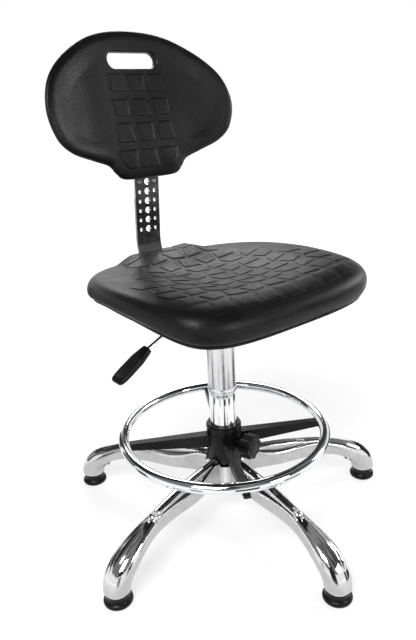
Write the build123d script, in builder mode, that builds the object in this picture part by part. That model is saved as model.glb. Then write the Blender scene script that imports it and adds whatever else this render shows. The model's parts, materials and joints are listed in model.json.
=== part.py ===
from build123d import *
from math import cos, radians, sin
import os

os.makedirs("parts", exist_ok=True)

# Frame: the swivel axis is Z and the floor is Z = 0. The chair faces -Y and +X is the
# sitter's left. The seat stands near the bottom of its travel.

# Base
legs = 5
first_leg = -5.5           # heading of the first leg, from -Y towards +X
glide_circle = 300.0       # radius of the circle through the glides
leg_width = 29.0           # at mid length; the leg widens to the hub and to the foot
foot_d = 43.0
foot_z = 24.0
hub_r = 38.0
hub_bottom = 60.0
hub_top = 111.0
spine_r = 9.5              # round ridge along the top of each leg
spine_z = 115.0            # middle of the ridge at the hub
hollow_half = 10.5         # half width of the channel under each leg
insert_t = 3.0

# Column
tube_r = 25.0
tube_wall = 1.6
tube_top = 373.0
rod_r = 5.0
cylinder_r = 14.0
cylinder_bottom = 110.0
cylinder_top = 418.0
sleeve_r = 25.9
sleeve_bottom = 253.0
running = 0.06             # radial clearance of a running fit

# Footring
ring_r = 188.7             # to the middle of the tube
ring_tube_r = 9.5
ring_z = 171.6
first_arm = -30.3          # heading of the first arm
arm_top = 167.0
knob_heading = 14.7
knob_z = 152.0

# Seat unit
housing_bottom = 388.0
plate_bottom = 438.0
plate_t = 4.0
core_t = 10.0
seat_w = 430.0
seat_top = 497.0
seat_front = -205.0
seat_rear = 190.0
lever_z = 424.0

# Back
bar_w = 54.0
bar_t = 5.0
bar_z = 435.5              # middle of the bar under the seat
bar_bend_r = 75.0
bar_bend_y = 130.0
bar_lean = 4.0             # forward lean of the drilled part
back_tilt = 10.0           # backward tilt of the backrest
hole_pitch = 18.04
hole_side = 16.4
back_y = 183.0
back_z = 630.0
back_h = 255.5
back_curve_r = 566.0
back_half_w = 196.5
back_core_t = 5.0

def heading(angle):
    """Unit vector of a heading measured from -Y towards +X."""
    return Vector(sin(radians(angle)), -cos(radians(angle)), 0)

def spoke_plane(angle):
    """Upright plane through the swivel axis: local x outward, local y up."""
    out = heading(angle)
    return Plane(origin=(0, 0, 0), x_dir=out, z_dir=out.cross(Vector(0, 0, 1)))

def across_plane(angle, r, z, dip=0.0):
    """Plane that cuts a spoke at radius r and height z, tipped down by dip degrees."""
    out = heading(angle)
    normal = out * cos(radians(dip)) - Vector(0, 0, 1) * sin(radians(dip))
    side = out.cross(Vector(0, 0, 1))
    return Plane(origin=(out.X * r, out.Y * r, z), x_dir=side, z_dir=normal)

def save(builder, name):
    builder.part.label = name
    export_step(builder.part, "parts/" + name + ".step")

def ring(name, r_out, r_in, z0, z1):
    """A plain turned ring on the swivel axis."""
    with BuildPart() as turned:
        with BuildSketch(Plane.XY.offset(z0)):
            Circle(r_out)
            Circle(r_in, mode=Mode.SUBTRACT)
        extrude(amount=z1 - z0)
    save(turned, name)

# ---------------------------------------------------------------- base star
headings = [first_leg + 360 / legs * i for i in range(legs)]

with BuildPart() as base_star:
    for angle in headings:
        with BuildSketch(across_plane(angle, 18, 90)):
            RectangleRounded(leg_width + 14, 46, 10)
        with BuildSketch(across_plane(angle, 80, 95)):
            RectangleRounded(leg_width + 4, 38, 9)
        with BuildSketch(across_plane(angle, 158, 93, 5)):
            RectangleRounded(leg_width, 34, 9)
        with BuildSketch(across_plane(angle, 215, 88, 14)):
            RectangleRounded(leg_width, 31, 10)
        with BuildSketch(across_plane(angle, 245, 79.5, 30)):
            RectangleRounded(38, 31, 13)
        with BuildSketch(across_plane(angle, 275, 65, 48)):
            RectangleRounded(46, 36, 16)
        with BuildSketch(across_plane(angle, glide_circle, foot_z, 90)):
            RectangleRounded(foot_d, foot_d, 19)
        loft()
    for angle in headings:
        with BuildSketch(across_plane(angle, 208, 89.5, 13)):
            RectangleRounded(8, 31.6, 3.8)
        with BuildSketch(across_plane(angle, 227, 85.5, 20)):
            RectangleRounded(20, 34, 9.5)
        with BuildSketch(across_plane(angle, 252, 76.5, 34)):
            RectangleRounded(28, 36, 13.3)
        with BuildSketch(across_plane(angle, 277, 63, 50)):
            RectangleRounded(34, 40.4, 16.2)
        with BuildSketch(across_plane(angle, 293, 46, 71)):
            RectangleRounded(30, 44, 14.3)
        with BuildSketch(across_plane(angle, 299, 33, 83)):
            RectangleRounded(16, 40, 7.6)
        loft()
    for angle in headings:
        with BuildLine(spoke_plane(angle)) as spine:
            Spline((26, spine_z), (80, spine_z), (158, 108.5), (206, 100.5))
        with BuildSketch(Plane(origin=spine.line @ 0, z_dir=spine.line % 0)):
            Circle(spine_r)
        sweep()
        with Locations(spine.line @ 1):
            Sphere(spine_r)
    with BuildSketch(Plane.XY.offset(hub_bottom)):
        Circle(hub_r)
    extrude(amount=hub_top - hub_bottom)
    with BuildSketch(Plane.XY.offset(hub_top)):
        Circle(hub_r - 1.5)
    extrude(amount=40, mode=Mode.SUBTRACT)
    with BuildSketch(Plane.XY.offset(hub_bottom - 30)):
        Circle(tube_r)
    extrude(amount=100, mode=Mode.SUBTRACT)
    for angle in headings:
        with BuildSketch(spoke_plane(angle)):
            with BuildLine():
                hollow = Spline((48, 106), (80, 106), (158, 103), (222, 89), (262, 66), (274, 46))
                Polyline(hollow @ 1, (248, 30), (48, 30), hollow @ 0)
            make_face()
        extrude(amount=hollow_half, both=True, mode=Mode.SUBTRACT)
    for angle in headings:
        foot = heading(angle) * glide_circle
        with BuildSketch(Plane(origin=(foot.X, foot.Y, foot_z - 1))):
            Circle(8)
        extrude(amount=29, mode=Mode.SUBTRACT)
save(base_star, "base_star")

with BuildPart() as leg_inserts:
    for angle in headings:
        with BuildLine(spoke_plane(angle)) as strip:
            Spline((48.2, 79.5), (80, 79.5), (158, 79.5), (212, 77.5), (244, 68), (258, 53))
        with BuildSketch(Plane(origin=strip.line @ 0, x_dir=Vector(0, 0, 1), z_dir=strip.line % 0)):
            Rectangle(insert_t, 2 * hollow_half - 0.2)
        sweep()
save(leg_inserts, "leg_inserts")

with BuildPart() as glide_sockets:
    for angle in headings:
        foot = heading(angle) * glide_circle
        with BuildSketch(Plane(origin=(foot.X, foot.Y, foot_z))):
            Circle(8)
        extrude(amount=28)
        with BuildSketch(Plane(origin=(foot.X, foot.Y, foot_z))):
            Circle(5 + running)
        extrude(amount=24, mode=Mode.SUBTRACT)
save(glide_sockets, "glide_sockets")

for number, angle in enumerate(headings, 1):
    foot = heading(angle) * glide_circle
    with BuildPart() as glide_foot:
        with BuildSketch(Plane(origin=(foot.X, foot.Y, 0), x_dir=(1, 0, 0), z_dir=(0, -1, 0))):
            with BuildLine():
                Polyline((0, 23.5), (0, 0), (21.5, 0))
                ThreePointArc((21.5, 0), (24.2, 4), (23.2, 8.5))
                Spline((23.2, 8.5), (20.4, 11.5), (19.3, 14.5))
                Polyline((19.3, 14.5), (20.3, 15.2), (20.3, 22.5), (19.3, 23.5), (0, 23.5))
            make_face()
        revolve(axis=Axis((foot.X, foot.Y, 0), (0, 0, 1)))
        with BuildSketch(Plane(origin=(foot.X, foot.Y, 6))):
            Circle(5)
        extrude(amount=30, mode=Mode.SUBTRACT)
    save(glide_foot, "glide_%d" % number)
    with BuildPart() as glide_stem:
        with BuildSketch(Plane(origin=(foot.X, foot.Y, 6))):
            Circle(5)
        extrude(amount=40)
        chamfer(glide_stem.edges().sort_by(Axis.Z)[-1], 1)
    save(glide_stem, "glide_stem_%d" % number)

# ---------------------------------------------------------------- gas column
with BuildPart() as column_tube:
    with BuildSketch(Plane.XY.offset(hub_bottom)):
        Circle(tube_r)
    extrude(amount=tube_top - hub_bottom)
    with BuildSketch(Plane.XY.offset(hub_bottom + 4)):
        Circle(tube_r - tube_wall)
    extrude(amount=tube_top - hub_bottom, mode=Mode.SUBTRACT)
    with BuildSketch(Plane.XY.offset(hub_bottom)):
        Circle(rod_r + 1)
    extrude(amount=4, mode=Mode.SUBTRACT)
save(column_tube, "column_tube")

ring("guide_bush", tube_r - tube_wall, cylinder_r + running, tube_top - 60, tube_top)
ring("lower_race", 14, rod_r + 1, hub_bottom + 4, hub_bottom + 6)

with BuildPart() as bearing_balls:
    with BuildSketch(Plane.XY.offset(hub_bottom + 7.2)):
        Circle(13.4)
        Circle(rod_r + 1.2, mode=Mode.SUBTRACT)
    extrude(amount=1.6)
    with PolarLocations(10, 8):
        with Locations((0, 0, hub_bottom + 8)):
            Sphere(2)
save(bearing_balls, "thrust_bearing")

ring("upper_race", 14, rod_r, hub_bottom + 10, hub_bottom + 12)
ring("rubber_bumper", 11, rod_r, hub_bottom + 12, hub_bottom + 26)
ring("retaining_clip", 9, rod_r - 0.8, hub_bottom - 2.6, hub_bottom - 1)

with BuildPart() as piston_rod:
    with BuildSketch(Plane.XY.offset(hub_bottom - 5)):
        Circle(rod_r)
    extrude(amount=261 - hub_bottom)
    with BuildSketch(Plane.XY.offset(hub_bottom - 2.6)):
        Circle(rod_r)
        Circle(rod_r - 0.8, mode=Mode.SUBTRACT)
    extrude(amount=1.6, mode=Mode.SUBTRACT)
    with BuildSketch(Plane.XY.offset(256)):
        Circle(rod_r - 1)
    extrude(amount=12)
save(piston_rod, "piston_rod")

ring("piston", cylinder_r - 1.4 - running, rod_r - 1, 256, 268)

with BuildPart() as gas_cylinder:
    with BuildSketch(Plane.XY.offset(cylinder_bottom)):
        Circle(cylinder_r)
    extrude(amount=cylinder_top - cylinder_bottom)
    with BuildSketch(Plane.XY.offset(cylinder_bottom + 12)):
        Circle(cylinder_r - 1.4)
    extrude(amount=cylinder_top - 10 - cylinder_bottom - 12, mode=Mode.SUBTRACT)
    with BuildSketch(Plane.XY.offset(cylinder_bottom)):
        Circle(rod_r + running)
    extrude(amount=12, mode=Mode.SUBTRACT)
    with BuildSketch(Plane.XY.offset(cylinder_top - 10)):
        Circle(3 + running)
    extrude(amount=10, mode=Mode.SUBTRACT)
    chamfer(gas_cylinder.edges().group_by(Axis.Z)[-1].sort_by(SortBy.RADIUS)[-1], 1)
save(gas_cylinder, "gas_cylinder")

with BuildPart() as release_pin:
    with BuildSketch(Plane.XY.offset(cylinder_top - 18)):
        Circle(3)
    extrude(amount=20.8)
    fillet(release_pin.edges().sort_by(Axis.Z)[-1], 0.8)
save(release_pin, "release_pin")

with BuildPart() as column_sleeve:
    with BuildSketch(Plane.XZ):
        with BuildLine():
            Polyline((tube_r + running, sleeve_bottom), (tube_r + running, housing_bottom - 3),
                     (cylinder_r, housing_bottom - 3), (cylinder_r, housing_bottom),
                     (sleeve_r, housing_bottom), (sleeve_r, sleeve_bottom + 12))
            Spline((sleeve_r, sleeve_bottom + 12), (26.9, sleeve_bottom + 6), (sleeve_r, sleeve_bottom))
            Line((sleeve_r, sleeve_bottom), (tube_r + running, sleeve_bottom))
        make_face()
    revolve(axis=Axis.Z)
save(column_sleeve, "column_sleeve")

# ---------------------------------------------------------------- footring
arm_headings = [first_arm + 90 * i for i in range(4)]
collet_r = 28.0

with BuildPart() as footring_collet:
    with BuildSketch(Plane.XY.offset(hub_top + 3)):
        Circle(collet_r)
        Circle(tube_r + running, mode=Mode.SUBTRACT)
    extrude(amount=75)
    with BuildSketch(Plane.XY.offset(hub_top + 75.5)):
        Circle(30.5)
        Circle(tube_r + running, mode=Mode.SUBTRACT)
    extrude(amount=2.5)
    with BuildSketch(spoke_plane(knob_heading + 180)):
        with Locations((28, hub_top + 48)):
            Rectangle(8, 90)
    extrude(amount=1.5, both=True, mode=Mode.SUBTRACT)
save(footring_collet, "footring_collet")

with BuildPart() as footring_hub:
    with BuildSketch(Plane.XY.offset(hub_top + 3.5)):
        Circle(32)
    extrude(amount=71.7)
    with BuildSketch(Plane.XY.offset(hub_top + 67)):
        Circle(33.2)
    extrude(amount=8.2)
    with BuildSketch(Plane.XY.offset(hub_top + 55)):
        Circle(33.2)
    extrude(amount=4)
    fillet(footring_hub.edges().filter_by(GeomType.CIRCLE).group_by(Axis.Z)[-1], 2)
    for angle in arm_headings:
        with BuildSketch(across_plane(angle, 27, 154)):
            Rectangle(19, 2 * (arm_top - 154))
        with BuildSketch(across_plane(angle, 197, 161.2)):
            Rectangle(12, 2 * (arm_top - 161.2))
        loft()
    with BuildSketch(across_plane(knob_heading, 20, knob_z)):
        Circle(11)
    extrude(amount=19)
    with BuildSketch(Plane.XY.offset(hub_top)):
        Circle(collet_r + running)
    extrude(amount=90, mode=Mode.SUBTRACT)
    with BuildSketch(across_plane(knob_heading, 20, knob_z)):
        Circle(5 + running)
    extrude(amount=30, mode=Mode.SUBTRACT)
    with BuildSketch(across_plane(knob_heading, 31, knob_z)):
        RegularPolygon(7.5, 6)
    extrude(amount=12, mode=Mode.SUBTRACT)
    with Locations((0, 0, ring_z)):
        Torus(ring_r, ring_tube_r, mode=Mode.SUBTRACT)
    with BuildSketch(Plane.XY.offset(ring_z - 11.5)):
        Circle(ring_r + 40)
        Circle(ring_r, mode=Mode.SUBTRACT)
    extrude(amount=30, mode=Mode.SUBTRACT)
    with BuildSketch(Plane.XY.offset(140)):
        with PolarLocations(ring_r, 4, start_angle=first_arm - 90):
            Circle(2.5)
    extrude(amount=30, mode=Mode.SUBTRACT)
save(footring_hub, "footring_hub")

with BuildPart() as footring:
    with Locations((0, 0, ring_z)):
        Torus(ring_r, ring_tube_r)
        Torus(ring_r, ring_tube_r - 1.5, mode=Mode.SUBTRACT)
    with BuildSketch(Plane.XY.offset(ring_z - 12)):
        with PolarLocations(ring_r, 4, start_angle=first_arm - 90):
            Circle(2.5)
    extrude(amount=8, mode=Mode.SUBTRACT)
save(footring, "footring")

with BuildPart() as ring_screws:
    with PolarLocations(ring_r, 4, start_angle=first_arm - 90):
        with Locations((0, 0, 154.3)):
            Cylinder(2.5, 13, align=(Align.CENTER, Align.CENTER, Align.MIN))
            Cylinder(4.5, 3, align=(Align.CENTER, Align.CENTER, Align.MAX))
save(ring_screws, "ring_screws")

with BuildPart() as clamp_nut:
    with BuildSketch(across_plane(knob_heading, 31, knob_z)):
        RegularPolygon(7.5, 6)
        Circle(5 + running, mode=Mode.SUBTRACT)
    extrude(amount=7.8)
save(clamp_nut, "clamp_nut")

with BuildPart() as clamp_screw:
    with BuildSketch(across_plane(knob_heading, collet_r + 0.1, knob_z)):
        Circle(5)
    extrude(amount=34)
save(clamp_screw, "clamp_screw")

with BuildPart() as clamp_knob:
    with BuildSketch(across_plane(knob_heading, 47, knob_z)):
        Circle(20.5)
        with PolarLocations(18.4, 8):
            Circle(5.4)
    extrude(amount=21)
    fillet(clamp_knob.faces().sort_by(lambda f: f.center().dot(heading(knob_heading)))[-1].edges(), 2)
    with BuildSketch(across_plane(knob_heading, 40, knob_z)):
        Circle(10)
    extrude(amount=7)
    with BuildSketch(across_plane(knob_heading, 40, knob_z)):
        Circle(5)
    extrude(amount=22.1, mode=Mode.SUBTRACT)
save(clamp_knob, "clamp_knob")

# ---------------------------------------------------------------- seat mechanism
with BuildPart() as seat_plate:
    with BuildSketch(Plane.XY.offset(plate_bottom)):
        with Locations((0, 11)):
            RectangleRounded(170, 214, 14)
    extrude(amount=plate_t)
    with Locations((0, 10, plate_bottom + plate_t)):
        with GridLocations(140, 180, 2, 2):
            Hole(4, depth=plate_t)
    with Locations((0, 80, plate_bottom + plate_t)):
        with GridLocations(28, 36, 2, 2):
            Hole(4, depth=plate_t)
save(seat_plate, "seat_plate")

with BuildPart() as mechanism_housing:
    with Locations((5, 0, (housing_bottom + plate_bottom) / 2)):
        Box(70, 74, plate_bottom - housing_bottom)
    with Locations((5, 0, (housing_bottom + plate_bottom) / 2 + 3)):
        Box(64, 68, plate_bottom - housing_bottom, mode=Mode.SUBTRACT)
    with Locations((-30, 0, plate_bottom - 14)):
        Box(10, 40, 30, mode=Mode.SUBTRACT)
    with BuildSketch(Plane.XY.offset(housing_bottom)):
        Circle(cylinder_r)
    extrude(amount=4, mode=Mode.SUBTRACT)
save(mechanism_housing, "mechanism_housing")

ring("taper_socket", 20, cylinder_r, housing_bottom + 3, cylinder_top)

with BuildPart() as lever_bracket:
    with Locations((-50, 0, plate_bottom - 2)):
        Box(28, 50, 4)
    with Locations((-50, 15, plate_bottom - 14), (-50, -15, plate_bottom - 14)):
        Box(16, 4, 24)
    with BuildSketch(Plane(origin=(-50, 0, lever_z), z_dir=(0, 1, 0))):
        Circle(4 + running)
    extrude(amount=20, both=True, mode=Mode.SUBTRACT)
save(lever_bracket, "lever_bracket")

with BuildPart() as lever_trunnion:
    with Locations((-50, 0, lever_z)):
        Box(14, 25, 13)
    with BuildSketch(Plane(origin=(-50, 0, lever_z), z_dir=(0, 1, 0))):
        Circle(4)
    extrude(amount=17, both=True)
    with BuildSketch(Plane(origin=(-60, 0, lever_z), z_dir=(1, 0, 0))):
        Circle(3)
    extrude(amount=20, mode=Mode.SUBTRACT)
save(lever_trunnion, "lever_trunnion")

with BuildPart() as lever_rod:
    with BuildLine(Plane.XZ) as lever_line:
        inner = Line((4, lever_z), (-58, lever_z))
        bend = JernArc(inner @ 1, (-1, 0), 16, 24)
        Line(bend @ 1, bend @ 1 + (bend % 1) * 118)
    with BuildSketch(Plane(origin=(4, 0, lever_z), z_dir=(-1, 0, 0))):
        Circle(3)
    sweep()
save(lever_rod, "lever_rod")

lever_end = lever_line.line @ 1
lever_dir = lever_line.line % 1
paddle_dir = Vector(-cos(radians(31)), 0, -sin(radians(31)))
paddle_start = lever_end - lever_dir * 16

with BuildPart() as lever_paddle:
    with BuildSketch(Plane(origin=paddle_start - paddle_dir * 4, x_dir=(0, 1, 0), z_dir=paddle_dir)):
        RectangleRounded(14, 12, 4)
    with BuildSketch(Plane(origin=paddle_start + paddle_dir * 20, x_dir=(0, 1, 0), z_dir=paddle_dir)):
        RectangleRounded(25, 13, 4)
    with BuildSketch(Plane(origin=paddle_start + paddle_dir * 72, x_dir=(0, 1, 0), z_dir=paddle_dir)):
        RectangleRounded(29, 7, 3)
    loft()
    add(lever_rod.part, mode=Mode.SUBTRACT)
save(lever_paddle, "lever_paddle")

# ---------------------------------------------------------------- seat
plate_top = plate_bottom + plate_t

with BuildPart() as seat_core:
    with BuildSketch(Plane.XY.offset(plate_top)):
        with Locations((0, -5)):
            RectangleRounded(330, 300, 60)
    extrude(amount=core_t)
    with BuildSketch(Plane.XY.offset(plate_top)):
        with Locations((0, 10)):
            with GridLocations(140, 180, 2, 2):
                Circle(4)
        with Locations((0, 80)):
            with GridLocations(28, 36, 2, 2):
                Circle(4)
    extrude(amount=core_t, mode=Mode.SUBTRACT)
save(seat_core, "seat_core")

def seat_outline(height, shrink):
    """Plan of the cushion, drawn in by a share of its size."""
    k = 1 - shrink
    with BuildSketch(Plane.XY.offset(height)) as plan:
        with BuildLine():
            Spline((0, seat_front * k), (100 * k, -202 * k), (160 * k, -190 * k), (195 * k, -162 * k),
                   (211 * k, -100 * k), (seat_w / 2 * k, 0), (204 * k, 92 * k), (178 * k, 150 * k),
                   (130 * k, 183 * k), (85 * k, seat_rear * k), (40 * k, 182 * k), (0, 179 * k),
                   tangents=((1, 0), (-1, 0)))
            mirror(about=Plane.YZ)
        make_face()
    return plan.sketch

with BuildPart() as seat_foam:
    for height, shrink in ((430, 0), (480, 0), (489, 0.02), (seat_top, 0.08)):
        add(seat_outline(height, shrink))
    loft(ruled=True)
    with BuildSketch(Plane.YZ):
        with BuildLine():
            Polyline((-260, 400), (-260, 431), (-186, 431), (-168, plate_top), (100, plate_top),
                     (188, 461), (260, 461), (260, 400), (-260, 400))
        make_face()
    extrude(amount=260, both=True, mode=Mode.SUBTRACT)
    with BuildSketch(Plane.XY.offset(plate_top)):
        with Locations((0, -5)):
            RectangleRounded(330, 300, 60)
    extrude(amount=core_t, mode=Mode.SUBTRACT)
save(seat_foam, "seat_foam")

with BuildPart() as seat_bolts:
    with Locations((0, 10, plate_bottom)):
        with GridLocations(140, 180, 2, 2):
            Cylinder(4, 12, align=(Align.CENTER, Align.CENTER, Align.MIN))
            Cylinder(7, 5, align=(Align.CENTER, Align.CENTER, Align.MAX))
save(seat_bolts, "seat_bolts")

with BuildPart() as bar_bolts:
    with Locations((0, 80, plate_bottom - bar_t)):
        with GridLocations(28, 36, 2, 2):
            Cylinder(4, 17, align=(Align.CENTER, Align.CENTER, Align.MIN))
            Cylinder(7, 5, align=(Align.CENTER, Align.CENTER, Align.MAX))
save(bar_bolts, "bar_bolts")

# ---------------------------------------------------------------- back bar
back_dir = Vector(0, sin(radians(back_tilt)), cos(radians(back_tilt)))
back_front = Vector(0, -cos(radians(back_tilt)), sin(radians(back_tilt)))
back_plane = Plane(origin=(0, back_y, back_z), x_dir=(1, 0, 0), z_dir=back_front)

with BuildPart() as back_bar:
    with BuildLine(Plane.YZ) as bar_line:
        flat = Line((48, bar_z), (bar_bend_y, bar_z))
        turn = JernArc(flat @ 1, (1, 0), bar_bend_r, 90 + bar_lean)
        drilled = Line(turn @ 1, turn @ 1 + (turn % 1) * 118)
        kick = JernArc(drilled @ 1, drilled % 1, 40, -bar_lean - back_tilt)
        Line(kick @ 1, kick @ 1 + (kick % 1) * 84)
    bar_n = (kick @ 1 - back_plane.origin).dot(back_front)
    with BuildSketch(Plane(origin=(0, 48, bar_z), x_dir=(1, 0, 0), z_dir=(0, 1, 0))):
        Rectangle(bar_w, bar_t)
    sweep()
    drill_plane = Plane(origin=turn @ 1, x_dir=(1, 0, 0),
                        z_dir=Vector(0, -cos(radians(bar_lean)), -sin(radians(bar_lean))))
    with BuildSketch(drill_plane):
        for row in range(6):
            with Locations((0, 16.3 + hole_pitch * row)):
                Circle(6)
            with Locations((-hole_side, 16.3 + hole_pitch * row), (hole_side, 16.3 + hole_pitch * row)):
                Circle(3.3)
    extrude(amount=10, both=True, mode=Mode.SUBTRACT)
    with BuildSketch(back_plane.offset(bar_n)):
        with GridLocations(2 * hole_side, 0, 2, 1):
            with Locations((0, 30), (0, 78)):
                Circle(3.3)
    extrude(amount=6, both=True, mode=Mode.SUBTRACT)
    with Locations((0, 80, bar_z + bar_t / 2)):
        with GridLocations(28, 36, 2, 2):
            Hole(4, depth=bar_t)
save(back_bar, "back_bar")

# ---------------------------------------------------------------- backrest
shell_front = 14.0
shell_rear = bar_n + bar_t / 2

with BuildPart() as back_core:
    with BuildSketch(back_plane.offset(shell_rear)):
        with Locations((0, 80)):
            RectangleRounded(76, 140, 12)
    extrude(amount=back_core_t)
    with BuildSketch(back_plane.offset(shell_rear)):
        with GridLocations(2 * hole_side, 0, 2, 1):
            with Locations((0, 30), (0, 78)):
                Circle(3)
    extrude(amount=back_core_t, mode=Mode.SUBTRACT)
save(back_core, "back_core")

with BuildPart() as backrest_foam:
    with BuildSketch(Plane(origin=back_plane.origin, x_dir=(1, 0, 0), z_dir=back_dir)):
        with Locations((0, -back_curve_r)):
            Circle(back_curve_r - shell_rear)
            Circle(back_curve_r - shell_front, mode=Mode.SUBTRACT)
        with Locations((0, -20)):
            Rectangle(500, 140, mode=Mode.INTERSECT)
    extrude(amount=back_h)
    with BuildSketch(back_plane):
        with BuildLine():
            Spline((0, back_h), (52, 251), (97, 236.5), (148, 205), (183, 167), (back_half_w, 120),
                   (186, 77), (160, 53), (118, 38), (86, 27), (73, 13), (55, 1), (0, 0),
                   tangents=((1, 0), (-1, 0)))
            mirror(about=Plane.YZ)
        make_face()
    extrude(amount=80, both=True, mode=Mode.INTERSECT)
    with BuildSketch(back_plane):
        with Locations((0, 205)):
            SlotOverall(102, 28)
    extrude(amount=80, both=True, mode=Mode.SUBTRACT)
    with BuildSketch(back_plane.offset(shell_rear + back_core_t)):
        with Locations((0, 80)):
            RectangleRounded(76, 140, 12)
    extrude(amount=-20, mode=Mode.SUBTRACT)
save(backrest_foam, "backrest_foam")

with BuildPart() as back_screws:
    with Locations(back_plane.offset(shell_rear - bar_t)):
        with GridLocations(2 * hole_side, 0, 2, 1):
            with Locations((0, 30), (0, 78)):
                Cylinder(3, 10, align=(Align.CENTER, Align.CENTER, Align.MIN))
                Cylinder(5.5, 3, align=(Align.CENTER, Align.CENTER, Align.MAX))
save(back_screws, "back_screws")

with BuildPart() as bar_screws:
    with Locations(drill_plane.offset(-bar_t / 2)):
        with Locations((-hole_side, 16.3 + hole_pitch * 5), (hole_side, 16.3 + hole_pitch * 5)):
            Cylinder(3.3, bar_t + 2, align=(Align.CENTER, Align.CENTER, Align.MIN))
            Cylinder(5.5, 3, align=(Align.CENTER, Align.CENTER, Align.MAX))
save(bar_screws, "bar_screws")
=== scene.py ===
import json
from math import cos, pi, radians, sin, tau

import bpy
import numpy as np
from mathutils import Matrix, Vector


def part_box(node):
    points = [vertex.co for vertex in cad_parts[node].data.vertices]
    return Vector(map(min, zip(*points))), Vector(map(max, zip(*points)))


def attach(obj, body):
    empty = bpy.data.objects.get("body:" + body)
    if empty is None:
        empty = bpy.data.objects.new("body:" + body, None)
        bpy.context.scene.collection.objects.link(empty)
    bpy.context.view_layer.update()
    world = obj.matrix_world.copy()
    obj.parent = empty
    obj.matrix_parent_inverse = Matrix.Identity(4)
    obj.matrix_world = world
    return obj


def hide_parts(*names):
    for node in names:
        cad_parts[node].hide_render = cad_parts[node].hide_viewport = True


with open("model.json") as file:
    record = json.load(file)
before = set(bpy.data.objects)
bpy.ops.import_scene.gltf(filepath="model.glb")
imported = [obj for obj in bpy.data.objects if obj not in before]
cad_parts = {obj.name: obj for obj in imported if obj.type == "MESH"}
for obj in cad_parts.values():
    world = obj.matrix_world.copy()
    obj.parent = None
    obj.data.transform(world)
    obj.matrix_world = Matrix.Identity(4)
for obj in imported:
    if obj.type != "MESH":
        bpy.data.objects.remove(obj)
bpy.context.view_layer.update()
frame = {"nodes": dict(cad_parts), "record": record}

nodes = frame["nodes"]

# Row frame in metres: +Z up on the swivel axis, the chair faces -Y, +X is the sitter's left.

# ---------------------------------------------------------------- small helpers


def smoothstep(low, high, value):
    """0 below low, 1 above high and an even S between them."""
    t = np.clip((value - low) / (high - low), 0.0, 1.0)
    return t * t * (3 - 2 * t)


def mirrored(half):
    """Closes a right-hand half outline, first and last points on the axis, with its mirror image."""
    return half + [(-x, y) for x, y in half[-2:0:-1]]


def closed_curve(points, count, per_span=40):
    """Evenly spaced points on a smooth closed curve through the given ones."""
    p = np.array(points, float)
    t = np.linspace(0, 1, per_span, endpoint=False)[:, None]
    spans = []
    for i in range(len(p)):
        a, b, c, d = p[i - 1], p[i], p[(i + 1) % len(p)], p[(i + 2) % len(p)]
        spans.append(0.5 * (2 * b + (c - a) * t + (2 * a - 5 * b + 4 * c - d) * t ** 2
                            + (3 * b - a - 3 * c + d) * t ** 3))
    dense = np.vstack(spans)
    closed = np.vstack([dense, dense[:1]])
    length = np.concatenate([[0], np.cumsum(np.hypot(*np.diff(closed, axis=0).T))])
    at = np.linspace(0, length[-1], count, endpoint=False)
    return np.column_stack([np.interp(at, length, closed[:, k]) for k in (0, 1)])


def radial_reach(outline, middle):
    """A function for the distance from the middle to the outline, in the direction of a point."""
    offset = outline - middle
    angle = np.arctan2(offset[:, 1], offset[:, 0])
    order = np.argsort(angle)
    radius = np.hypot(*offset.T)

    def reach(x, y):
        towards = np.arctan2(y - middle[1], x - middle[0])
        return np.interp(towards, angle[order], radius[order], period=tau)

    return reach


def inset_points(outline, middle, inset):
    """An outline drawn in towards the middle by a distance."""
    offset = outline - middle
    reach = np.hypot(*offset.T)[:, None]
    return middle + offset * (1 - np.reshape(inset, (-1, 1)) / reach)


def add_object(name, verts, faces, sharp=None):
    """A smooth-shaded mesh object, with edges over the sharp angle in degrees kept crisp."""
    mesh = bpy.data.meshes.new(name)
    mesh.from_pydata([tuple(v) for v in verts], [], faces)
    mesh.validate()
    mesh.polygons.foreach_set("use_smooth", [True] * len(mesh.polygons))
    if sharp:
        mesh.set_sharp_from_angle(angle=radians(sharp))
    piece = bpy.data.objects.new(name, mesh)
    bpy.context.scene.collection.objects.link(piece)
    return piece


def skin(rings, first=0):
    """Faces over a stack of rings of equal size, closed by a fan at each end."""
    count = len(rings[0])
    verts = [rings[0].mean(axis=0)] + [v for ring in rings for v in ring] + [rings[-1].mean(axis=0)]
    last = first + len(verts) - 1
    faces = []
    for i in range(count):
        j = (i + 1) % count
        faces.append((first, first + 1 + i, first + 1 + j))
        for k in range(len(rings) - 1):
            a = first + 1 + k * count
            faces.append((a + i, a + count + i, a + count + j, a + j))
        a = last - count
        faces.append((a + i, last, a + j))
    return verts, faces


def bake(piece):
    """Applies a piece's modifiers to its mesh."""
    graph = bpy.context.evaluated_depsgraph_get()
    mesh = bpy.data.meshes.new_from_object(piece.evaluated_get(graph))
    piece.modifiers.clear()
    piece.data = mesh


# ---------------------------------------------------------------- materials


def node_material(name):
    """A material with its node tree, its shader and its object coordinates."""
    material = bpy.data.materials.new(name)
    material.use_nodes = True
    tree = material.node_tree
    where = tree.nodes.new("ShaderNodeTexCoord").outputs["Object"]
    return material, tree, tree.nodes["Principled BSDF"], where


def noise(tree, where, scale, detail=4.0, roughness=0.55):
    """A noise texture's value, with the scale in cells a metre."""
    node = tree.nodes.new("ShaderNodeTexNoise")
    node.inputs["Scale"].default_value = scale
    node.inputs["Detail"].default_value = detail
    node.inputs["Roughness"].default_value = roughness
    tree.links.new(where, node.inputs["Vector"])
    return node.outputs["Fac"]


def spread(tree, value, low, high, start=0.35, end=0.65):
    """Maps a texture's usual span to the range low .. high."""
    node = tree.nodes.new("ShaderNodeMapRange")
    node.inputs["From Min"].default_value = start
    node.inputs["From Max"].default_value = end
    node.inputs["To Min"].default_value = low
    node.inputs["To Max"].default_value = high
    tree.links.new(value, node.inputs["Value"])
    return node.outputs["Result"]


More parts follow.
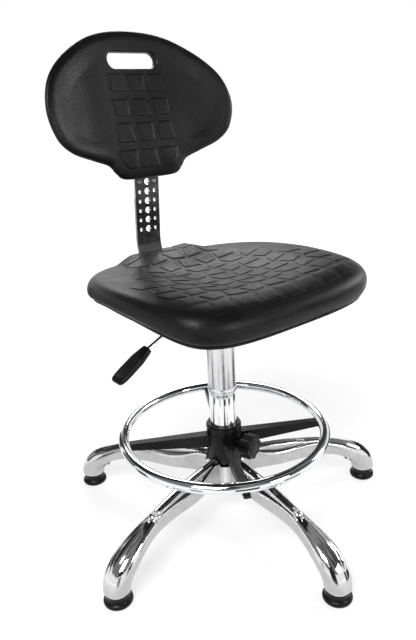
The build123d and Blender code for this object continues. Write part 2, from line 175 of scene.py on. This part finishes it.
def combined(tree, operation, first, second):
    """Two values put together by a math node."""
    node = tree.nodes.new("ShaderNodeMath")
    node.operation = operation
    tree.links.new(first, node.inputs[0])
    tree.links.new(second, node.inputs[1])
    return node.outputs["Value"]


def two_tone(tree, value, first, second):
    """A colour between two others, plain ones or sockets, led by a 0..1 value."""
    node = tree.nodes.new("ShaderNodeMix")
    node.data_type = "RGBA"
    tree.links.new(value, node.inputs["Factor"])
    for end, colour in (("A", first), ("B", second)):
        if isinstance(colour, tuple):
            node.inputs[end].default_value = (*colour, 1)
        else:
            tree.links.new(colour, node.inputs[end])
    return node.outputs["Result"]


def worn(tree, colour, edge_colour, start=0.52, end=0.62):
    """Lets the colour turn to edge_colour along convex edges, where hands and shoes rub."""
    pointiness = tree.nodes.new("ShaderNodeNewGeometry").outputs["Pointiness"]
    return two_tone(tree, spread(tree, pointiness, 0, 1, start, end), colour, edge_colour)


def bump(tree, shader, height, depth, under=None):
    """Surface relief of a depth in metres, laid over the relief under it if there is one."""
    node = tree.nodes.new("ShaderNodeBump")
    node.inputs["Distance"].default_value = depth
    node.inputs["Strength"].default_value = 1.0
    tree.links.new(height, node.inputs["Height"])
    if under:
        tree.links.new(under, node.inputs["Normal"])
    tree.links.new(node.outputs["Normal"], shader.inputs["Normal"])
    return node.outputs["Normal"]


def moulded_foam():
    """Black self-skinned polyurethane: fine leather grain, soft sheen, paler where it is rubbed."""
    material, tree, shader, where = node_material("pu_foam")
    cells = tree.nodes.new("ShaderNodeTexVoronoi")
    cells.feature = "SMOOTH_F1"
    cells.inputs["Scale"].default_value = 520.0
    tree.links.new(where, cells.inputs["Vector"])
    fine = bump(tree, shader, noise(tree, where, 1500.0, 3.0), 0.00008)
    bump(tree, shader, cells.outputs["Distance"], 0.00035, fine)
    cloud = spread(tree, noise(tree, where, 9.0), 0, 1)
    colour = two_tone(tree, cloud, (0.0026, 0.0026, 0.0028), (0.0052, 0.0052, 0.0055))
    tree.links.new(worn(tree, colour, (0.011, 0.011, 0.0115)), shader.inputs["Base Color"])
    tree.links.new(spread(tree, noise(tree, where, 26.0), 0.31, 0.41), shader.inputs["Roughness"])
    shader.inputs["Specular IOR Level"].default_value = 0.17
    return material


def plated(name, low, high, dull, bright, waves, edge):
    """Metal with faint smears, a slightly wavy surface and brighter edges."""
    material, tree, shader, where = node_material(name)
    shader.inputs["Metallic"].default_value = 1.0
    colour = two_tone(tree, spread(tree, noise(tree, where, 30.0), 0, 1), dull, bright)
    tree.links.new(worn(tree, colour, edge), shader.inputs["Base Color"])
    tree.links.new(spread(tree, noise(tree, where, 55.0, 6.0), low, high), shader.inputs["Roughness"])
    bump(tree, shader, noise(tree, where, 24.0, 2.0), waves)
    return material


def cast_aluminium():
    """Polished where it faces up, left satin and greyer on the flanks."""
    material, tree, shader, where = node_material("polished_aluminium")
    shader.inputs["Metallic"].default_value = 1.0
    facing = tree.nodes.new("ShaderNodeSeparateXYZ")
    tree.links.new(tree.nodes["Texture Coordinate"].outputs["Normal"], facing.inputs["Vector"])
    upward = spread(tree, facing.outputs["Z"], 0, 0.8, 0.10, 0.45)
    polish = combined(tree, "ADD", upward, spread(tree, noise(tree, where, 60.0, 6.0), 0, 0.2))
    colour = two_tone(tree, polish, (0.50, 0.50, 0.505), (0.80, 0.80, 0.805))
    tree.links.new(worn(tree, colour, (0.82, 0.82, 0.82), 0.55, 0.66), shader.inputs["Base Color"])
    flank = spread(tree, facing.outputs["Z"], 0.30, 0.055, 0.10, 0.45)
    smear = spread(tree, noise(tree, where, 70.0, 6.0), 0.0, 0.05)
    tree.links.new(combined(tree, "ADD", flank, smear), shader.inputs["Roughness"])
    bump(tree, shader, noise(tree, where, 30.0, 2.0), 0.00012)
    return material


def moulded(name, dark, light, low, high, grain, depth, edge):
    """Moulded plastic or rubber with a spark-eroded grain."""
    material, tree, shader, where = node_material(name)
    colour = two_tone(tree, spread(tree, noise(tree, where, 40.0), 0, 1), dark, light)
    tree.links.new(worn(tree, colour, edge), shader.inputs["Base Color"])
    tree.links.new(spread(tree, noise(tree, where, 90.0), low, high), shader.inputs["Roughness"])
    bump(tree, shader, noise(tree, where, grain, 5.0), depth)
    shader.inputs["Specular IOR Level"].default_value = 0.18
    return material


def plywood():
    """Rotary-cut face veneer with the grain along X."""
    material, tree, shader, where = node_material("board")
    grain = tree.nodes.new("ShaderNodeTexWave")
    grain.bands_direction = "Y"
    grain.inputs["Scale"].default_value = 18.0
    grain.inputs["Distortion"].default_value = 7.0
    grain.inputs["Detail"].default_value = 3.0
    tree.links.new(where, grain.inputs["Vector"])
    colour = two_tone(tree, grain.outputs["Fac"], (0.33, 0.21, 0.11), (0.47, 0.33, 0.19))
    tree.links.new(colour, shader.inputs["Base Color"])
    tree.links.new(spread(tree, noise(tree, where, 80.0), 0.55, 0.7), shader.inputs["Roughness"])
    bump(tree, shader, grain.outputs["Fac"], 0.0001)
    return material


grey = (0.55, 0.55, 0.54)
materials = {
    "pu_foam": moulded_foam(),
    "board": plywood(),
    "chrome": plated("chrome", 0.03, 0.09, (0.74, 0.75, 0.77), (0.84, 0.85, 0.86), 0.00006,
                     (0.88, 0.88, 0.89)),
    "polished_aluminium": cast_aluminium(),
    "steel": plated("steel", 0.25, 0.38, (0.45, 0.45, 0.46), (0.56, 0.56, 0.57), 0.00005,
                    (0.66, 0.66, 0.67)),
    "brass": plated("brass", 0.22, 0.36, (0.62, 0.46, 0.20), (0.70, 0.54, 0.26), 0.00005,
                    (0.78, 0.64, 0.36)),
    "black_steel": moulded("black_steel", (0.007, 0.007, 0.0075), (0.011, 0.011, 0.0115), 0.30, 0.42, 900.0,
                           0.00006, (0.03, 0.03, 0.03)),
    "black_nylon": moulded("black_nylon", (0.0028, 0.0028, 0.003), (0.005, 0.005, 0.0053), 0.26, 0.38, 1100.0,
                           0.00005, (0.014, 0.014, 0.0145)),
    "grey_plastic": moulded("grey_plastic", (0.42, 0.42, 0.41), grey, 0.42, 0.55, 800.0, 0.00005, grey),
    "rubber": moulded("rubber", (0.012, 0.012, 0.012), (0.02, 0.02, 0.02), 0.65, 0.8, 700.0, 0.0001,
                      (0.035, 0.035, 0.035)),
}

# Two chromed parts are finished differently from the rest.
own_finish = {
    "column_sleeve": plated("satin_chrome", 0.20, 0.27, (0.66, 0.66, 0.67), (0.72, 0.72, 0.73), 0.00004,
                            (0.74, 0.74, 0.75)),
    "back_bar": plated("bar_chrome", 0.07, 0.14, (0.50, 0.50, 0.51), (0.60, 0.60, 0.61), 0.00005,
                       (0.66, 0.66, 0.67)),
}

for part in frame["record"]["subparts"]:
    slots = nodes[part["node"]].data.materials
    slots.clear()
    slots.append(own_finish.get(part["node"], materials[part["material_slot"]]))


def finished(piece, body, slot):
    """Gives a new piece its body and its material."""
    piece.data.materials.clear()
    piece.data.materials.append(materials[slot])
    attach(piece, body)
    return piece


# ---------------------------------------------------------------- raised pads of the moulded skin

pad_bevel = 0.0017       # width of a pad's sloping edge
pad_root = 0.0012        # how far its foot is sunk into the skin
pad_core = 0.4           # size of its last ring as a share of its outline


def rounded_outline(corners, corner_r, per_corner=6):
    """Outline of a polygon with its corners rounded over corner_r of each side."""
    outline = []
    pts = [np.array(c, float) for c in corners]
    for i, corner in enumerate(pts):
        back = pts[i - 1] - corner
        ahead = pts[(i + 1) % len(pts)] - corner
        start = corner + back / np.linalg.norm(back) * corner_r
        end = corner + ahead / np.linalg.norm(ahead) * corner_r
        for t in np.linspace(0, 1, per_corner):
            outline.append((1 - t) ** 2 * start + 2 * t * (1 - t) * corner + t * t * end)
    return np.array(outline)


def draped_pads(pads, surface, lift, corner_r):
    """Low raised pads that lie on a surface: surface(a, b, lift) gives points above it."""
    levels = ((0.0, -pad_root), (0.0, 0.0), (0.35, 0.72 * lift), (1.0, lift), (4.0, lift))
    verts = []
    faces = []
    for corners in pads:
        outline = rounded_outline(corners, corner_r)
        middle = outline.mean(axis=0)
        reach = np.hypot(*(outline - middle).T)[:, None]
        rings = []
        for bevels, height in levels:
            ring = middle + (outline - middle) * (1 - bevels * pad_bevel / reach)
            rings.append(surface(*ring.T, height))
        rings.append(surface(*(middle + (outline - middle) * pad_core).T, lift))
        new_verts, new_faces = skin(rings, len(verts))
        verts.extend(new_verts)
        faces.extend(new_faces)
    return verts, faces


def with_pads(verts, faces, pads):
    """A skin's vertices and faces, followed by those of its pads."""
    pad_verts, pad_faces = pads
    joined = faces + [tuple(len(verts) + i for i in face) for face in pad_faces]
    return list(verts) + list(pad_verts), joined


# ---------------------------------------------------------------- seat

seat_low, seat_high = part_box("seat_foam")
seat_middle = np.array((0.0, -0.005))
seat_level = 0.458       # the lower rim at mid length
seat_under = 0.4418      # the flat underside, round the seat board
seat_waist = 0.42        # height of the widest line, as a share from the rim to the crest
rim_round = 0.009        # inset of the rounding under the widest line
rim_fold = 0.006         # height of the folded lip at the rim
# The right half of the plan outline, from the front to the rear.
seat_half = [(0, -0.205), (0.1, -0.202), (0.16, -0.19), (0.195, -0.162), (0.211, -0.1), (0.215, 0),
             (0.203, 0.086), (0.172, 0.144), (0.128, 0.18), (0.085, 0.189), (0.04, 0.182), (0, 0.179)]
seat_outline = closed_curve(mirrored(seat_half), 400)
seat_reach = radial_reach(seat_outline, seat_middle)


def seat_ridge(y):
    """Height of the side bolsters' crest."""
    return seat_high[2] - 0.002 - 0.21 * (y + 0.08) ** 2 - 0.24 * np.clip(-(y + 0.08), 0, None) ** 2


def seat_dish(x, y):
    """Height of the sitting surface, before its edge is rounded."""
    middle = 0.4765 + 0.010 * smoothstep(-0.02, -0.14, y) + 0.0205 * smoothstep(0.05, 0.155, y)
    rear = smoothstep(0.02, 0.13, y)
    side = smoothstep(0.03 + 0.025 * rear, 0.168 - 0.066 * rear, np.abs(x))
    return middle + (seat_ridge(y) - middle) * side


def seat_rim(x, y):
    """Height of the lower rim: it drops at the front and under the rear lobes, and arches over the bar."""
    front_drop = (seat_level - seat_low[2]) * np.clip(y / seat_low[1], 0, 1.1) ** 1.6
    lobe = smoothstep(0.05, 0.11, np.abs(x))
    rear = smoothstep(0.03, 0.14, y)
    return seat_level - front_drop - 0.009 * rear * lobe + 0.004 * rear * (1 - lobe)


def seat_widest(x, y):
    """Height of the widest line, where the rounded edge turns under."""
    return seat_rim(x, y) + seat_waist * (seat_ridge(y) - seat_rim(x, y))


def seat_roll(x, y):
    """Width of the rounded edge: a long waterfall at the front, tighter at the sides and rear."""
    forward = np.clip(-(y - seat_middle[1]) / np.hypot(x, y - seat_middle[1] + 1e-9), 0, 1)
    return 0.024 + 0.044 * forward ** 1.5


def seat_top(x, y):
    """Height of the finished upper surface."""
    inset = np.clip(seat_reach(x, y) - np.hypot(x - seat_middle[0], y - seat_middle[1]), 0, None)
    u = np.clip(inset / seat_roll(x, y), 0, 1)
    rounded = (1 - (1 - u) ** 2.3) ** (1 / 2.3)
    return seat_widest(x, y) + (seat_dish(x, y) - seat_widest(x, y)) * rounded


def seat_surface(x, y, lift):
    """Points above the seat's upper surface, raised along its normal."""
    step = 0.0008
    z = seat_top(x, y)
    slope_x = (seat_top(x + step, y) - seat_top(x - step, y)) / (2 * step)
    slope_y = (seat_top(x, y + step) - seat_top(x, y - step)) / (2 * step)
    size = np.sqrt(1 + slope_x ** 2 + slope_y ** 2)
    return np.column_stack([x - slope_x / size * lift, y - slope_y / size * lift, z + lift / size])


def seat_rings():
    """Rings from the middle of the top, over the edge and back under to the middle."""
    rings = []
    x, y = seat_outline.T
    roll = seat_roll(x, y)
    reach = np.hypot(*(seat_outline - seat_middle).T)
    for share in np.linspace(0.02, 1, 60):
        at = inset_points(seat_outline, seat_middle, reach - share * (reach - roll))
        rings.append(np.column_stack([at, seat_top(*at.T)]))
    for angle in np.linspace(0, pi / 2, 26)[1:]:
        at = inset_points(seat_outline, seat_middle, roll * (1 - sin(angle)))
        rings.append(np.column_stack([at, seat_top(*at.T)]))
    rim = seat_rim(x, y)
    drop = seat_widest(x, y) - rim - rim_fold
    for angle in np.linspace(0, pi / 2, 12)[1:]:
        at = inset_points(seat_outline, seat_middle, rim_round * (1 - cos(angle)))
        rings.append(np.column_stack([at, seat_widest(x, y) - drop * sin(angle)]))
    # The lip, as insets and heights above the rim: a parting groove, then a small bead under it.
    for inset, above in ((0.0105, 0.0056), (0.0105, 0.0048), (0.0088, 0.0042), (0.0084, 0.0032),
                         (0.0088, 0.0012), (0.0105, 0.0002), (0.013, 0.0)):
        at = inset_points(seat_outline, seat_middle, inset)
        rings.append(np.column_stack([at, rim + above]))
    for inset in np.linspace(0.016, 0.032, 8):
        at = inset_points(seat_outline, seat_middle, inset)
        rings.append(np.column_stack([at, rim + (seat_under - rim) * smoothstep(0.013, 0.032, inset)]))
    for share in (0.6, 0.3, 0.02):
        at = seat_middle + (seat_outline - seat_middle) * share
        rings.append(np.column_stack([at, np.full(len(at), seat_under)]))
    return rings


def seat_pads():
    """Plan corners of the skewed pads, in rows from the front edge to the rear lip."""
    pads = []
    first_row, row_pitch, column_pitch = -0.142, 0.0352, 0.0402
    half, left_depth, right_depth = 0.0158, 0.0262, 0.0268
    for row in range(9):
        front = first_row + row_pitch * row
        reach = 4 if row < 4 else 3 if row < 6 else 2
        shift = 0.006 * (-1) ** row
        for column in range(-reach, reach + 1):
            mid = column_pitch * column + shift * 0.5
            lean = 0.0035 * (-1) ** (row + column)
            skew = 0.0025 * (-1) ** column
            pads.append([(mid - half - lean, front + skew),
                         (mid + half + lean * 0.4, front - skew),
                         (mid + half - lean * 0.6, front + right_depth - skew * 0.5),
                         (mid - half + lean, front + left_depth + skew)])
    # A row of wider pads on the waterfall, that follows the curve of the front.
    strip_pitch, strip_front, strip_rear, wide, narrow = 0.044, -0.187, -0.151, 0.0175, 0.0165
    for column in range(-3, 4):
        mid = strip_pitch * column
        lean = 0.003 * (-1) ** column
        front = strip_front + 0.0008 * column ** 2
        pads.append([(mid - wide + lean, front), (mid + wide, front),
                     (mid + narrow, strip_rear), (mid - narrow - lean, strip_rear)])
    return pads


def make_seat():
    """The moulded cushion, with its pads in the same mesh."""
    pads = draped_pads(seat_pads(), seat_surface, 0.0010, 0.0022)
    seat = add_object("seat_cushion", *with_pads(*skin(seat_rings()), pads))
    finished(seat, "seat_unit", "pu_foam")
    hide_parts("seat_foam")


make_seat()

# ---------------------------------------------------------------- backrest

# A backrest point is (x, s, n): across, up along the tilted face, and forward of it.
tilt = radians(10)
back_origin = np.array((0.0, 0.183, 0.630))
back_up = np.array((0, sin(tilt), cos(tilt)))
back_forward = np.array((0, -cos(tilt), sin(tilt)))
back_middle = np.array((0.0, 0.13))
# The right half of the outline as (x, s), from the top to the foot.
back_half = [(0, 0.2555), (0.052, 0.251), (0.097, 0.2365), (0.148, 0.205), (0.183, 0.167), (0.1965, 0.12),
             (0.186, 0.077), (0.16, 0.053), (0.118, 0.038), (0.086, 0.027), (0.073, 0.013),
             (0.055, 0.001), (0, 0)]
back_outline = closed_curve(mirrored(back_half), 400)
back_reach = radial_reach(back_outline, back_middle)
back_radius = 0.566      # of the bow that brings the wings forward
back_edge = 0.017        # width of the front face's rounded edge
back_crown = 0.009       # height of the front face over that edge
rear_depth = 0.0088      # from the bow back to the rear face
rear_edge = 0.012        # width of the rear face's rounded edge
slot_s = 0.205
slot_size = (0.102, 0.028)
slot_flare = 0.0055


def back_bow(x):
    """How far the wings come forward of the middle."""
    return back_radius - np.sqrt(back_radius ** 2 - np.asarray(x) ** 2)


def back_front(x, s):
    """Depth of the front face, with its edge rounded."""
    inset = np.clip(back_reach(x, s) - np.hypot(x - back_middle[0], s - back_middle[1]), 0, None)
    u = np.clip(inset / back_edge, 0, 1)
    rounded = (1 - (1 - u) ** 2) ** 0.5
    swell = (0.007 * smoothstep(0.2, 0.03, s) - 0.0015) * np.exp(-(x / 0.085) ** 2)
    hollow = 0.0025 * smoothstep(back_edge, 0.05, inset) * smoothstep(0.07, 0.12, np.abs(x))
    return back_bow(x) + back_crown * rounded + (swell - hollow) * smoothstep(0.0, 0.05, inset)


def back_point(x, s, n):
    """A point of the backrest from its own across, up and forward distances."""
    x, s, n = np.broadcast_arrays(x, s, n)
    return back_origin + np.outer(x, (1, 0, 0)) + np.outer(s, back_up) + np.outer(n, back_forward)


def back_surface(x, s, lift):
    """Points in front of the front face by a distance."""
    return back_point(x, s, back_front(x, s) + lift)


def back_rings():
    """Rings from the middle of the front face, over the edge and back to the middle of the rear face."""
    rings = []
    reach = np.hypot(*(back_outline - back_middle).T)
    for share in np.linspace(0.02, 1, 60):
        at = inset_points(back_outline, back_middle, reach - share * (reach - back_edge))
        rings.append(back_surface(*at.T, 0))
    for angle in np.linspace(0, pi / 2, 20)[1:]:
        at = inset_points(back_outline, back_middle, back_edge * (1 - sin(angle)))
        rings.append(back_surface(*at.T, 0))
    bow = back_bow(back_outline[:, 0])
    for angle in np.linspace(0, pi / 2, 14)[1:]:
        at = inset_points(back_outline, back_middle, rear_edge * (1 - cos(angle)))
        rings.append(back_point(*at.T, bow - rear_depth * sin(angle)))
    for share in np.linspace(1, 0.02, 40)[1:]:
        at = inset_points(back_outline, back_middle, reach - share * (reach - rear_edge))
        rings.append(back_point(*at.T, back_bow(at[:, 0]) - rear_depth))
    return rings


def slot_cutter():
    """A slot-shaped plug that flares where it leaves the front and the rear face."""
    length, width = slot_size
    flare = slot_flare
    run = (length - width) / 2
    beside = 0.03            # where along the slot the front face's depth is taken
    front = float(back_front(np.array([beside]), np.array([slot_s]))[0])
    rear = -rear_depth
    turn = np.linspace(-pi / 2, pi / 2, 24)
    rings = []
    behind, ahead = 0.01, 0.02
    stations = [(rear - behind, flare)]
    stations += [(rear + flare * (1 - cos(a)), flare * (1 - sin(a))) for a in np.linspace(0, pi / 2, 8)]
    stations += [(front - flare * (1 - cos(a)), flare * (1 - sin(a))) for a in np.linspace(pi / 2, 0, 8)]
    stations.append((front + ahead, flare))
    for n, grow in stations:
        r = width / 2 + grow
        half = np.column_stack([run + np.cos(turn) * r, slot_s + np.sin(turn) * r])
        other = np.column_stack([-run - np.cos(turn) * r, slot_s - np.sin(turn) * r])
        at = np.vstack([half, other])
        rings.append(back_point(*at.T, n + back_bow(at[:, 0])))
    verts, faces = skin(rings[::-1])
    return add_object("slot_cutter", verts, faces)


def back_pads():
    """Corners of the backrest's four rows of three pads, as (x, s)."""
    pads = []
    for row, (low, high, half) in enumerate(((0.152, 0.182, 0.0165), (0.109, 0.139, 0.0165),
                                             (0.064, 0.098, 0.0170), (0.017, 0.051, 0.0185))):
        for column in (-1, 0, 1):
            mid = column * (0.0415 + 0.0012 * row)
            left = 0.0045 if (row + column) % 2 == 0 else 0.0
            right = 0.0045 if (row + column) % 2 else -0.001
            corners = [(mid - half + left, low), (mid + half + right * 0.6, low),
                       (mid + half - right, high), (mid - half - left * 0.4, high)]
            if row == 3 and column:
                x, s = corners.pop(0 if column < 0 else 1)
                cut = [(x, s + 0.012), (x - 0.010 * column, s)]
                place = max(column, 0)
                corners[place:place] = cut if column < 0 else cut[::-1]
            pads.append(corners)
    return pads


def make_backrest():
    """The moulded backrest with its slot cut through, and its pads in the same mesh."""
    backrest = add_object("backrest_pad", *skin(back_rings()))
    cutter = slot_cutter()
    cut = backrest.modifiers.new("slot", "BOOLEAN")
    cut.operation = "DIFFERENCE"
    cut.object = cutter
    cut.solver = "EXACT"
    bake(backrest)
    bpy.data.objects.remove(cutter)
    body = backrest.data
    shell_verts = [tuple(v.co) for v in body.vertices]
    shell_faces = [tuple(p.vertices) for p in body.polygons]
    bpy.data.objects.remove(backrest)
    pads = draped_pads(back_pads(), back_surface, 0.0013, 0.003)
    backrest = add_object("backrest_pad", *with_pads(shell_verts, shell_faces, pads), 50)
    finished(backrest, "seat_unit", "pu_foam")
    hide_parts("backrest_foam")


make_backrest()

# ---------------------------------------------------------------- lever grip

paddle_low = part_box("lever_paddle")[0]
paddle_length = 0.076
paddle_rise = 0.0035     # from the low corner of the CAD paddle's box to the middle of the grip's end
rib_pitch = 0.0032
rib_half = 0.00045       # half the depth of the grooves between the ribs
paddle_tilt = radians(31)
paddle_along = np.array((-cos(paddle_tilt), 0, -sin(paddle_tilt)))
paddle_up = np.array((-sin(paddle_tilt), 0, cos(paddle_tilt)))
paddle_end = (np.array((paddle_low[0], 0, paddle_low[2]))
              + paddle_rise * np.array((sin(paddle_tilt), 0, cos(paddle_tilt))))


def paddle_ring(back, count=48):
    """Cross-section of the grip at a distance back from its end, ribbed across its upper face."""
    stations = (0.0, 0.0015, 0.005, 0.012, 0.024, 0.052, 0.070, 0.076)
    half_width = np.interp(back, stations, (0.0098, 0.0124, 0.0148, 0.0160, 0.0158, 0.0132, 0.0088, 0.0070))
    half_height = np.interp(back, stations, (0.0022, 0.0029, 0.0034, 0.0038, 0.0047, 0.0064, 0.0064, 0.0058))
    turn = np.linspace(0, tau, count, endpoint=False)
    squareness = 0.36
    across = np.sign(np.cos(turn)) * np.abs(np.cos(turn)) ** squareness * half_width
    up = np.sign(np.sin(turn)) * np.abs(np.sin(turn)) ** squareness * half_height
    wave = rib_half * (1 + cos(tau * back / rib_pitch))
    rib = wave * smoothstep(0.007, 0.012, back) * smoothstep(0.058, 0.050, back)
    up = up - rib * (np.sin(turn) > 0.3) * (np.abs(across) < 0.8 * half_width)
    return paddle_end - paddle_along * back + np.outer(across, (0, 1, 0)) + np.outer(up, paddle_up)


def make_grip():
    """The height lever's grip, with a rounded end and ribs."""
    rings = [paddle_ring(back) for back in np.linspace(0, paddle_length, 153)]
    grip = add_object("lever_grip", *skin(rings))
    finished(grip, "height_lever", "black_nylon")
    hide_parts("lever_paddle")


def make_knob_cap():
    """The raised disc and rim on the end face of the clamp knob."""
    heading = radians(14.7)
    from_axis, height_up = 0.068, 0.152
    up = np.array((0, 0, 1))
    out = np.array((sin(heading), -cos(heading), 0))
    side = np.cross(out, up)
    face = out * from_axis + np.array((0, 0, height_up))
    turn = np.linspace(0, tau, 72, endpoint=False)
    rings = []
    circle = np.outer(np.cos(turn), side) + np.outer(np.sin(turn), up)
    for radius, height in ((0.0150, -0.0006), (0.0150, 0.0007), (0.0146, 0.0011), (0.0137, 0.0011),
                           (0.0133, 0.0007), (0.0131, 0.0002), (0.0125, 0.0002), (0.0122, 0.0006),
                           (0.0115, 0.0009), (0.0030, 0.0009)):
        rings.append(face + out * height + radius * circle)
    finished(add_object("knob_cap", *skin(rings), 40), "clamp_handle", "black_nylon")


make_grip()
make_knob_cap()

# ---------------------------------------------------------------- studio


def make_floor():
    """A pale floor that glows more with distance, so that it shows as white with a soft shadow."""
    half = 40
    corners = [(-half, -half, 0), (half, -half, 0), (half, half, 0), (-half, half, 0)]
    floor = add_object("floor", corners, [(0, 1, 2, 3)])
    material, tree, shader, where = node_material("floor")
    colour = two_tone(tree, noise(tree, where, 3.0), (0.36, 0.36, 0.36), (0.38, 0.38, 0.38))
    tree.links.new(colour, shader.inputs["Base Color"])
    shader.inputs["Roughness"].default_value = 0.8
    shader.inputs["Emission Color"].default_value = (1, 1, 1, 1)
    length = tree.nodes.new("ShaderNodeVectorMath")
    length.operation = "LENGTH"
    tree.links.new(where, length.inputs[0])
    glow = spread(tree, length.outputs["Value"], 0.62, 1.0, 0.6, 2.2)
    tree.links.new(glow, shader.inputs["Emission Strength"])
    floor.data.materials.append(material)


def make_flags():
    """Dark studio flags round the chair that show only in its reflections, as streaks.

    Each is its azimuth in degrees, distance, width at the top, share of that width at the foot,
    lower and upper height, and shade.
    """
    flags = ((-114, 0.46, 0.11, 1.0, 0, 0.155, 0.01), (-63, 0.46, 0.09, 0.6, 0, 0.11, 0.2),
             (-24, 0.46, 0.15, 1.0, 0, 0.155, 0.01), (15, 0.46, 0.13, 1.0, 0, 0.09, 0.01),
             (74, 0.46, 0.26, 1.0, 0, 0.155, 0.01), (-42, 0.50, 0.34, 0.2, 0.17, 0.36, 0.22),
             (34, 0.66, 0.42, 1.0, 0.325, 0.9, 0.05), (130, 0.7, 0.22, 1.0, 0, 0.5, 0.02),
             (195, 0.7, 0.2, 1.0, 0, 0.5, 0.02), (-142, 0.85, 0.34, 1.0, 0, 0.5, 0.12))
    for number, (azimuth, distance, width, foot, low, high, shade) in enumerate(flags, 1):
        material, _, shader, _ = node_material("flag_%d" % number)
        shader.inputs["Base Color"].default_value = (shade, shade, shade, 1)
        shader.inputs["Roughness"].default_value = 0.9
        out = Vector((sin(radians(azimuth)), -cos(radians(azimuth)), 0))
        side = Vector((out.y, -out.x, 0)) * width / 2
        base = out * distance + Vector((0, 0, low))
        top = Vector((0, 0, high - low))
        corners = [base - side * foot, base + side * foot, base + side + top, base - side + top]
        flag = add_object("flag_%d" % number, corners, [(0, 1, 2, 3)])
        flag.data.materials.append(material)
        flag.visible_camera = False
        flag.visible_diffuse = False
        flag.visible_shadow = False
        flag.visible_transmission = False


def make_light(name, place, target, size, power):
    """A rectangular studio light that faces its target."""
    lamp = bpy.data.lights.new(name, "AREA")
    lamp.shape = "RECTANGLE"
    lamp.size, lamp.size_y = size
    lamp.energy = power
    light = bpy.data.objects.new(name, lamp)
    light.location = place
    light.rotation_euler = (Vector(target) - Vector(place)).to_track_quat("-Z", "Y").to_euler()
    bpy.context.scene.collection.objects.link(light)


def make_world():
    """White surroundings low down, and a dark ceiling with darker bands for the metal to mirror."""
    ceiling, feather = 0.2, 0.02
    world = bpy.data.worlds.new("studio")
    bpy.context.scene.world = world
    world.use_nodes = True
    tree = world.node_tree
    background = tree.nodes["Background"]
    where = tree.nodes.new("ShaderNodeTexCoord").outputs["Generated"]
    around = tree.nodes.new("ShaderNodeTexGradient")
    around.gradient_type = "RADIAL"
    tree.links.new(where, around.inputs["Vector"])
    bands = tree.nodes.new("ShaderNodeValToRGB")
    stops = bands.color_ramp.elements
    for stop, position in zip(stops, (0.0, 1.0)):
        stop.position = position
        stop.color = (ceiling, ceiling, ceiling, 1)
    for middle, half, dark in ((0.12, 0.05, 0.03), (0.34, 0.06, 0.05),
                               (0.62, 0.05, 0.04), (0.83, 0.06, 0.03)):
        for position, level in ((middle - half - feather, ceiling), (middle - half, dark),
                                (middle + half, dark), (middle + half + feather, ceiling)):
            stop = stops.new(position)
            stop.color = (level, level, level, 1)
    tree.links.new(around.outputs["Fac"], bands.inputs["Fac"])
    split = tree.nodes.new("ShaderNodeSeparateXYZ")
    tree.links.new(where, split.inputs["Vector"])
    rising = spread(tree, split.outputs["Z"], 0, 1, 0.32, 0.40)
    falling = spread(tree, split.outputs["Z"], 1, 0.92, 0.80, 0.95)
    overhead = combined(tree, "MULTIPLY", rising, falling)
    sky = two_tone(tree, overhead, (1, 1, 1), bands.outputs["Color"])
    tree.links.new(sky, background.inputs["Color"])
    background.inputs["Strength"].default_value = 1.0


def make_camera():
    """The photograph's viewpoint: in front and to the sitter's right, looking down."""
    heading = radians(40)
    distance, height = 0.99205, 0.74878
    turn, pitch, roll = radians(1.149), radians(70.248), radians(-2.836)
    data = bpy.data.cameras.new("camera")
    data.sensor_fit = "VERTICAL"
    data.sensor_height = 36.0
    data.lens = 33.39
    camera = bpy.data.objects.new("camera", data)
    place = Matrix.Translation((-distance * sin(heading), -distance * cos(heading), height))
    aim = (Matrix.Rotation(turn - heading, 4, "Z") @ Matrix.Rotation(pitch, 4, "X")
           @ Matrix.Rotation(roll, 4, "Z"))
    camera.matrix_world = place @ aim
    bpy.context.scene.collection.objects.link(camera)
    bpy.context.scene.camera = camera


make_floor()
make_flags()
make_world()
make_light("key", (-1.6, -0.9, 2.2), (0, 0, 0.5), (1.2, 1.2), 60)
make_light("fill_left", (1.77, -0.80, 1.05), (0, 0.1, 0.7), (0.9, 0.5), 14)
make_light("fill_front", (0.42, -1.82, 1.0), (0, 0.1, 0.7), (0.6, 0.5), 10)
make_light("rim", (0.9, 1.7, 1.9), (0, 0.1, 0.6), (1.4, 0.8), 26)
make_camera()
bpy.context.scene.view_settings.view_transform = "Standard"
